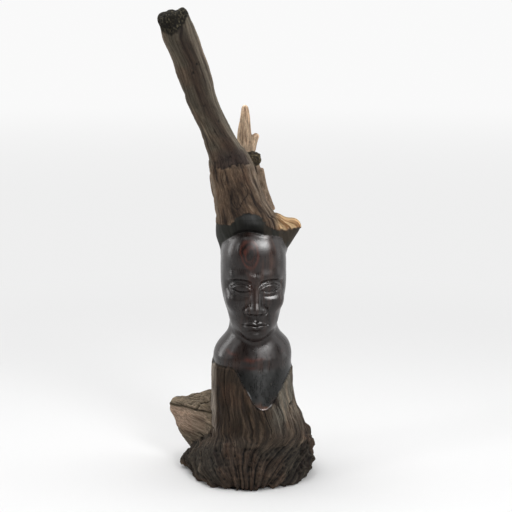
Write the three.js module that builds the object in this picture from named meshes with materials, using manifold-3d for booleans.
// A hardwood bust carved at the foot of a natural limb. One block of timber holds everything: the
// rough root it stands on, the polished shoulders, neck and head, and the weathered limb that rises
// out of the crown. Each stretch of the block is its own solid, named for what a carver would call it.
//
// Millimetres. +Z is up, the face looks towards -Y, and the origin is the middle of the flat underside.
import * as THREE from "three";
import { mergeVertices } from "three/addons/utils/BufferGeometryUtils.js";
import Module from "manifold-3d";

const wasm = await Module();
wasm.setup();

// ---------------------------------------------------------------- driving dimensions

const GAP = 0.3; // left at a flat cut between neighbouring stretches of the block
const CLEARANCE = 0.5; // left where one stretch wraps round another
const REACH = 400; // larger than anything that is cut

const WAIST_Z = 42; // where the robe meets the root
const YOKE_Z = 118; // lower edge of the polished shoulders, at the back
const BIB_TIP = [19, 79]; // x and z of the lowest point of the polished chest
const CROWN_Z = 284; // where the scraped hood meets the raw wood above it
const FORK_Z = 350; // where the main branch leaves the trunk

const HEAD_HEIGHT = 125; // chin to crown
const HEAD_WIDTH = 68;
const HEAD_DEPTH = 80;
const HEAD_CENTRE = [3.5, 1, 214.5];
const JAW_FORWARD = 15; // how far the jaw comes in front of the middle of the skull
const HEAD_TURN = THREE.MathUtils.degToRad(4); // towards +X
const HEAD_NOD = THREE.MathUtils.degToRad(4); // chin towards the chest

const TIP_POINT = [-76, -27, 485]; // on the broken end of the branch
const TIP_NORMAL = new THREE.Vector3(-0.2, -0.72, 0.66).normalize();

const EAST = new THREE.Vector3(1, 0, 0);
const NORTH = new THREE.Vector3(0, 1, 0);
const UP = new THREE.Vector3(0, 0, 1);

// ---------------------------------------------------------------- materials

const wood = (colour, roughness) =>
  new THREE.MeshStandardMaterial({ color: colour, roughness, metalness: 0 });

const polished = wood(0x2a1f1b, 0.3);
const scraped = wood(0x34302c, 0.55);
const weathered = wood(0x6b5a49, 0.85);
const rootWood = wood(0x453a31, 0.8);
const paleSplinter = wood(0xa18566, 0.85);
const endGrain = wood(0x2b261b, 0.95);

// ---------------------------------------------------------------- solids

// Turns a closed geometry into a solid that can be cut and joined.
function solid(geometry) {
  const bare = new THREE.BufferGeometry();
  bare.setAttribute("position", geometry.getAttribute("position"));
  bare.setIndex(geometry.getIndex());
  const merged = mergeVertices(bare, 1e-3);
  const corners = merged.getIndex().array;
  const triangles = [];
  for (let i = 0; i < corners.length; i += 3) {
    const [a, b, c] = [corners[i], corners[i + 1], corners[i + 2]];
    if (a !== b && b !== c && c !== a) triangles.push(a, b, c);
  }
  return new wasm.Manifold(
    new wasm.Mesh({
      numProp: 3,
      vertProperties: new Float32Array(merged.getAttribute("position").array),
      triVerts: new Uint32Array(triangles),
    }),
  );
}

// The largest piece of a solid, as a named mesh: a cut can leave crumbs behind.
function piece(name, shape, material) {
  const bodies = shape.decompose();
  const largest = bodies.reduce((a, b) => (a.volume() > b.volume() ? a : b));
  const found = largest.getMesh();
  const geometry = new THREE.BufferGeometry();
  const points = new Float32Array(found.numVert * 3);
  for (let i = 0; i < found.numVert; i++) {
    const start = i * found.numProp;
    points.set(found.vertProperties.subarray(start, start + 3), i * 3);
  }
  geometry.setAttribute("position", new THREE.BufferAttribute(points, 3));
  geometry.setIndex(new THREE.BufferAttribute(found.triVerts, 1));
  geometry.computeVertexNormals();
  const mesh = new THREE.Mesh(geometry, material);
  mesh.name = name;
  return mesh;
}

// Everything on the side of a plane that its normal points to.
function halfSpace(point, normal) {
  const block = new THREE.BoxGeometry(REACH * 2, REACH * 2, REACH * 2);
  block.translate(0, 0, REACH);
  const turn = new THREE.Quaternion().setFromUnitVectors(UP, normal);
  block.applyQuaternion(turn);
  block.translate(...point);
  return solid(block);
}

const above = (z) => halfSpace([0, 0, z], UP);
const below = (z) => halfSpace([0, 0, z], UP.clone().negate());

// ---------------------------------------------------------------- limbs

// Slow unevenness of natural wood, from -1 to 1, at about the given wavelength.
function wander(point, wavelength) {
  const { x, y, z } = point.clone().multiplyScalar((2 * Math.PI) / wavelength);
  return (
    (Math.sin(x + 1.3 * Math.sin(0.7 * z + 1.1)) +
      Math.sin(1.1 * y + 1.7 * Math.sin(0.6 * x + 0.4)) +
      Math.sin(0.5 * z + 1.2 * Math.sin(0.9 * y + 2.3))) /
    3
  );
}

// Share of the full section at t along a limb whose two ends round off over the given shares.
function rounding(t, [start, end]) {
  const away = Math.max(start > 0 ? 1 - t / start : 0, end > 0 ? 1 - (1 - t) / end : 0, 0);
  return Math.sqrt(Math.max(0, 1 - away * away));
}

// A closed limb along a smooth spine. A station is [x, y, z, half width, half depth], where the width
// lies along `across` and the depth is square to it. `ends` gives the shares that round off. A level
// limb keeps its sections level, and any other keeps them square to its spine.
function limb(spec, grow = 0) {
  const { stations, across = EAST, ends = [0, 0], around = 28, along = 12, level = false } = spec;
  const { rough = 0, wavelength = 40, outline = () => 1 } = spec;
  const spine = new THREE.CatmullRomCurve3(stations.map(([x, y, z]) => new THREE.Vector3(x, y, z)));
  const halves = new THREE.CatmullRomCurve3(
    stations.map(([, , , width, depth]) => new THREE.Vector3(width, depth, 0)),
  );
  const profile = [new THREE.Vector2(0, 0)];
  for (let row = 0; row <= along; row++) {
    const t = (1 - Math.cos((Math.PI * row) / along)) / 2;
    const share = rounding(t, ends);
    if (share > 0) profile.push(new THREE.Vector2(share, t));
  }
  profile.push(new THREE.Vector2(0, 1));
  const geometry = new THREE.LatheGeometry(profile, around);
  const position = geometry.getAttribute("position");
  const vertex = new THREE.Vector3();
  for (let i = 0; i < position.count; i++) {
    vertex.fromBufferAttribute(position, i);
    const { x, y: t, z } = vertex;
    const heading = level ? UP : spine.getTangent(t);
    const sideways = across.clone().addScaledVector(heading, -across.dot(heading)).normalize();
    const forward = new THREE.Vector3().crossVectors(sideways, heading);
    const half = halves.getPoint(t);
    const centre = spine.getPoint(t);
    const arm = new THREE.Vector3()
      .addScaledVector(sideways, x * (half.x + grow))
      .addScaledVector(forward, z * (half.y + grow));
    const share = Math.hypot(x, z);
    const bump = rough * wander(centre.clone().add(arm), wavelength) * share;
    const stretch = outline(Math.atan2(z, x), t);
    arm.multiplyScalar(stretch).addScaledVector(arm.clone().normalize(), bump);
    vertex.copy(centre).add(arm).addScaledVector(heading, grow * (2 * t - 1));
    position.setXYZ(i, vertex.x, vertex.y, vertex.z);
  }
  return solid(geometry);
}

// What is left of a limb beside its neighbours, which are grown by the clearance.
const beside = (shape, ...neighbours) =>
  neighbours.reduce((left, spec) => left.subtract(limb(spec, CLEARANCE)), shape);

// ---------------------------------------------------------------- the rough foot

const rootSpec = {
  level: true,
  stations: [
    [-1, 1, 0, 66, 66],
    [-1, 1, 5, 67.5, 67.5],
    [-1, 1, 16, 67.5, 65],
    [1, 1, 26, 64, 60.5],
    [5, 0, 34, 60, 56],
    [10.5, 0, WAIST_Z, 53.5, 52],
    [11, 0, WAIST_Z + 6, 52, 51],
  ],
  around: 44,
  along: 12,
  rough: 2.5,
  wavelength: 46,
  // The front-left quarter is hewn flat.
  outline: (angle) => 1 - 0.2 * Math.exp(-(((angle + 2.35) / 0.45) ** 2)),
};

const spurSpec = {
  stations: [
    [-46, 4, 10, 16, 13],
    [-64, 8, 9, 13, 10],
    [-80, 10, 8, 8.5, 7.5],
  ],
  across: NORTH,
  ends: [0, 0.28],
  around: 18,
  along: 8,
  rough: 1.5,
  wavelength: 22,
};

const burlSpec = {
  level: true,
  stations: [
    [44, -6, 5, 21.5, 26],
    [48.5, -8, 18, 22.5, 29],
    [51, -6, 36, 16.5, 24],
    [47, -4, 56, 9, 13],
  ],
  ends: [0, 0.3],
  around: 24,
  along: 10,
  rough: 2.2,
  wavelength: 24,
};

const stumpSpec = {
  stations: [
    [-22, 14, 47, 24, 36],
    [-50, 29, 46, 25, 35.5],
    [-67, 38, 50, 22, 25.5],
    [-81, 45, 56, 17, 13],
    [-90, 50, 60, 10, 7],
  ],
  across: NORTH,
  ends: [0, 0.1],
  around: 26,
  along: 14,
  rough: 1.6,
  wavelength: 34,
};

// ---------------------------------------------------------------- the robed body

const bodySpec = {
  level: true,
  stations: [
    [10, 0, WAIST_Z - 6, 56, 53],
    [10.5, 0, WAIST_Z, 53.5, 52],
    [9, 0, 60, 48, 48],
    [5, 0, 80, 45, 45],
    [2.5, 1, 100, 44.5, 42],
    [3, 2, 120, 44, 38],
    [3, 3, 136, 42.5, 34],
    [4, 3, 147, 38, 30],
    [4, 3, 156, 27, 24],
  ],
  ends: [0, 0.05],
  around: 44,
  along: 22,
  rough: 1.2,
  wavelength: 52,
};

const slabSpec = {
  level: true,
  stations: [
    [-35.5, 12, WAIST_Z - 4, 5, 24],
    [-38, 12, 80, 4.2, 22],
    [-38.5, 11, 112, 4.2, 17],
    [-37, 10, 136, 3.2, 10],
  ],
  ends: [0, 0.12],
  around: 20,
  along: 12,
  rough: 0.6,
  wavelength: 30,
};

const neckSpec = {
  level: true,
  stations: [
    [4, 3, 138, 31, 28],
    [3.5, 3, 152, 28.5, 26],
    [3.5, 4, 162, 26.5, 25],
    [3.5, 5, 172, 25.5, 25],
    [3.5, 8, 195, 24, 25],
  ],
  around: 32,
  along: 8,
};

// The outline of the polished chest and shoulders, looking along +Y: a bib that runs to a blunt tip.
function bibOutline(inset) {
  const [tipX, tipZ] = BIB_TIP;
  const edge = new THREE.Shape();
  edge.moveTo(-REACH, YOKE_Z + 4 + inset);
  edge.lineTo(-19, YOKE_Z + 6 + inset);
  edge.quadraticCurveTo(-14 + inset, YOKE_Z + 5, -9.5 + inset, YOKE_Z - 7);
  edge.lineTo(tipX - 15 + inset, tipZ + 9);
  edge.quadraticCurveTo(tipX - 3, tipZ - 7 + 2 * inset, tipX + 8 - inset, tipZ + 11);
  edge.lineTo(tipX + 25 - inset, YOKE_Z - 1);
  edge.lineTo(REACH, YOKE_Z + inset);
  edge.lineTo(REACH, REACH);
  edge.lineTo(-REACH, REACH);
  return edge;
}

// The space of the polished bust: the bib in front, and a level yoke behind.
function bustSpace(inset) {
  const front = new THREE.ExtrudeGeometry(bibOutline(inset), {
    depth: REACH,
    bevelEnabled: false,
    curveSegments: 8,
  });
  front.rotateX(Math.PI / 2);
  const yoke = halfSpace([0, 0, YOKE_Z + inset], UP);
  return solid(front).add(yoke.intersect(halfSpace([0, -1, 0], NORTH)));
}

// ---------------------------------------------------------------- the head

// Heights on the face by the thirds rule, from the middle of the head.
const CHIN = -HEAD_HEIGHT / 2;
const BROW = 0.08 * HEAD_HEIGHT;
const NOSE_BASE = (BROW + CHIN) / 2;
const MOUTH = NOSE_BASE + (CHIN - NOSE_BASE) / 3;
const EYE_X = HEAD_WIDTH / 5;

// Forward swellings of the face: [x, z, half width, half height, how far it stands out].
const FEATURES = [
  [0, NOSE_BASE + 5, 7, 7, 7.5], // tip of the nose
  [0, (BROW + NOSE_BASE) / 2 + 2, 5, 13, 5], // bridge
  [-7, NOSE_BASE + 3, 5, 5, 3], // wings of the nose
  [7, NOSE_BASE + 3, 5, 5, 3],
  [0, MOUTH + 3.5, 10, 3.2, 4.6], // upper lip
  [0, MOUTH - 4, 9, 3.2, 4.2], // lower lip
  [0, CHIN + 10, 10, 7, 4], // chin
  [-EYE_X, BROW + 2, 11, 4, 2.6], // brows
  [EYE_X, BROW + 2, 11, 4, 2.6],
  [-EYE_X, 0, 8, 6, -3.2], // eye sockets
  [EYE_X, 0, 8, 6, -3.2],
  [-EYE_X, -0.5, 5, 3, 3], // lids
  [EYE_X, -0.5, 5, 3, 3],
  [-19, -14, 9, 9, 2.5], // cheekbones
  [19, -14, 9, 9, 2.5],
];

const swelling = (x, z, [centreX, centreZ, halfX, halfZ, out]) =>
  out * Math.exp(-(((x - centreX) / halfX) ** 2) - ((z - centreZ) / halfZ) ** 2);

// The head as an egg whose jaw narrows and comes forward, with the features pushed out of its front.
function head(grow = 0) {
  const geometry = new THREE.SphereGeometry(1, 36, 30);
  const position = geometry.getAttribute("position");
  for (let i = 0; i < position.count; i++) {
    const [right, up, front] = [position.getX(i), position.getY(i), position.getZ(i)];
    const jaw = THREE.MathUtils.smoothstep(-up, 0, 1);
    const x = right * (HEAD_WIDTH / 2) * (1 - 0.1 * jaw);
    const z = up * (HEAD_HEIGHT / 2);
    const depth = (HEAD_DEPTH / 2) * (1 - (front > 0 ? 0 : 0.35) * jaw);
    const facing = THREE.MathUtils.smoothstep(front, 0, 0.5);
    const relief = FEATURES.reduce((sum, feature) => sum + swelling(x, z, feature), 0);
    position.setXYZ(i, x, -front * depth - JAW_FORWARD * jaw * jaw - relief * facing, z);
  }
  const outer = 1 + (2 * grow) / HEAD_WIDTH;
  geometry.scale(outer, outer, outer);
  geometry.rotateX(HEAD_NOD);
  geometry.rotateZ(HEAD_TURN);
  geometry.translate(...HEAD_CENTRE);
  return solid(geometry);
}

// ---------------------------------------------------------------- hood, trunk and limb

const hoodSpec = {
  level: true,
  stations: [
    [4, 18, 222, 25, 21],
    [3.5, 16, 234, 33, 25],
    [3.5, 13, 250, 38, 28],
    [2.5, 7, 260, 40, 34],
    [1, 2, 269, 38.5, 39.5],
    [-1.5, 0, 277, 35.5, 41],
    [-3, 0, CROWN_Z + 2, 32, 40],
  ],
  ends: [0.1, 0],
  around: 40,
  along: 14,
  rough: 0.5,
  wavelength: 60,
};

const brimSpec = {
  stations: [
    [12, 2, 260, 25, 21],
    [30, 1, 264, 21, 18],
    [43, 0, 270, 14.5, 11.5],
    [53.5, 0, 276, 9.5, 6],
  ],
  across: NORTH,
  ends: [0, 0.14],
  around: 24,
  along: 12,
  rough: 0.6,
  wavelength: 24,
};

const trunkSpec = {
  level: true,
  stations: [
    [-3, -1, CROWN_Z - 3, 32, 39],
    [-10, 0, 299, 27.5, 34],
    [-15.5, 0, 318, 25, 29],
    [-20, -3, 338, 22.5, 24],
    [-26, -7, FORK_Z + 8, 18.5, 21],
  ],
  around: 34,
  along: 12,
  rough: 1.2,
  wavelength: 34,
};

const backSlabSpec = {
  level: true,
  stations: [
    [-8, 24, CROWN_Z + 3, 27, 12],
    [-14, 25, 304, 27, 10],
    [-17, 26, 326, 26.5, 8],
    [-20, 27, 347, 23, 5.5],
  ],
  ends: [0, 0.06],
  around: 24,
  along: 10,
  rough: 1,
  wavelength: 22,
};

const tallSpec = {
  stations: [
    [-8.5, 30, 306, 9, 6],
    [-7.2, 32, 345, 7.4, 5],
    [-6.2, 34, 368, 6.6, 4],
    [-5.4, 35, 388, 4.4, 3],
    [-5.6, 35, 398, 2.6, 2],
  ],
  ends: [0, 0.07],
  around: 16,
  along: 14,
  rough: 0.4,
  wavelength: 18,
};

const shortSpec = {
  stations: [
    [-4, 29, 330, 4.5, 4],
    [0.8, 31, 348, 3.8, 3.6],
    [4.6, 32.5, 360, 3.3, 3],
    [8, 33.5, 367.5, 3, 2.4],
  ],
  ends: [0, 0.06],
  around: 14,
  along: 9,
  rough: 0.4,
  wavelength: 12,
};

const edgeSlabSpec = {
  level: true,
  stations: [
    [7, 22, CROWN_Z + 3, 12.5, 14],
    [6, 27, 304, 8, 11],
    [4.5, 29, 322, 7.5, 8],
    [3, 30, 341, 7, 5],
  ],
  ends: [0, 0.06],
  around: 18,
  along: 10,
  rough: 0.6,
  wavelength: 18,
};

const spikeSpec = {
  level: true,
  stations: [
    [17, 22, CROWN_Z + 3, 10.5, 9],
    [14.5, 25, 304, 6, 5.5],
    [13.5, 27, 318, 3.2, 3.2],
    [13.4, 28, 332, 1.3, 1.4],
  ],
  ends: [0, 0.06],
  around: 12,
  along: 9,
};

const knotSpec = {
  stations: [
    [-8, 5, 341, 6, 6],
    [1, 4, 343, 6.2, 6.2],
    [10.3, 3, 344.5, 6, 6],
  ],
  across: NORTH,
  ends: [0, 0.3],
  around: 16,
  along: 8,
  rough: 0.4,
  wavelength: 10,
};

const branchSpec = {
  stations: [
    [-22, -5, FORK_Z - 8, 20, 22],
    [-33.5, -10, 369, 15.6, 19.5],
    [-46, -15, 397, 14.6, 18],
    [-50.4, -17, 411, 15.6, 17.5],
    [-54, -19, 426, 16.2, 17],
    [-63.2, -23, 452, 16.6, 16.5],
    [-75.4, -28, 482, 16.4, 16],
    [-80, -31, 497, 14.5, 14.5],
  ],
  ends: [0, 0.03],
  around: 26,
  along: 24,
  rough: 1,
  wavelength: 38,
};

// ---------------------------------------------------------------- cutting the block into its stretches

const ground = above(0);
const raw = above(CROWN_Z + GAP);
const skull = head();
const skullSpace = head(GAP);
const fork = new THREE.Vector3(-0.36, -0.16, 0.92).normalize();
const forkPoint = [-25, -7, FORK_Z];
const forkPointBack = [-25 - GAP * fork.x, -7 - GAP * fork.y, FORK_Z - GAP * fork.z];
const tipBack = TIP_NORMAL.clone().multiplyScalar(-GAP).add(new THREE.Vector3(...TIP_POINT));

const hoodSolid = limb(hoodSpec).subtract(skullSpace).intersect(below(CROWN_Z));
const trunkSolid = limb(trunkSpec)
  .intersect(raw)
  .subtract(halfSpace(forkPointBack, fork));
const branchWhole = limb(branchSpec).intersect(halfSpace(forkPoint, fork));
const bodyWhole = limb(bodySpec).intersect(above(WAIST_Z + GAP));
const splinterRoots = [trunkSpec, backSlabSpec, edgeSlabSpec];

const figure = new THREE.Group();
figure.add(
  piece("root_base", limb(rootSpec).intersect(below(WAIST_Z)), rootWood),
  piece("foot_spur", beside(limb(spurSpec).intersect(ground), rootSpec), rootWood),
  piece("root_burl", beside(limb(burlSpec).intersect(ground), rootSpec, bodySpec), rootWood),
  piece("back_stump", beside(limb(stumpSpec), rootSpec, bodySpec, slabSpec), weathered),
  piece("robe", bodyWhole.subtract(bustSpace(0)), rootWood),
  piece("side_slab", beside(limb(slabSpec), bodySpec, rootSpec), weathered),
  piece("bust", beside(bodyWhole.intersect(bustSpace(GAP)), neckSpec), polished),
  piece("neck", limb(neckSpec).subtract(skullSpace), polished),
  piece("head", skull, polished),
  piece("hood", hoodSolid, scraped),
  piece("brim_spur", beside(limb(brimSpec), hoodSpec, trunkSpec).subtract(skullSpace), scraped),
  piece("crown_trunk", trunkSolid, weathered),
  piece("back_slab", beside(limb(backSlabSpec).intersect(raw), trunkSpec), weathered),
  piece("edge_slab", beside(limb(edgeSlabSpec).intersect(raw), trunkSpec, backSlabSpec), paleSplinter),
  piece("tall_splinter", beside(limb(tallSpec), ...splinterRoots), paleSplinter),
  piece("short_splinter", beside(limb(shortSpec), ...splinterRoots, tallSpec), paleSplinter),
  piece("small_spike", beside(limb(spikeSpec).intersect(raw), ...splinterRoots), paleSplinter),
  piece("knot_stub", beside(limb(knotSpec), ...splinterRoots), endGrain),
  piece("main_branch", branchWhole.subtract(halfSpace([...tipBack], TIP_NORMAL)), weathered),
  piece("branch_tip", branchWhole.intersect(halfSpace(TIP_POINT, TIP_NORMAL)), endGrain),
);

export default figure;
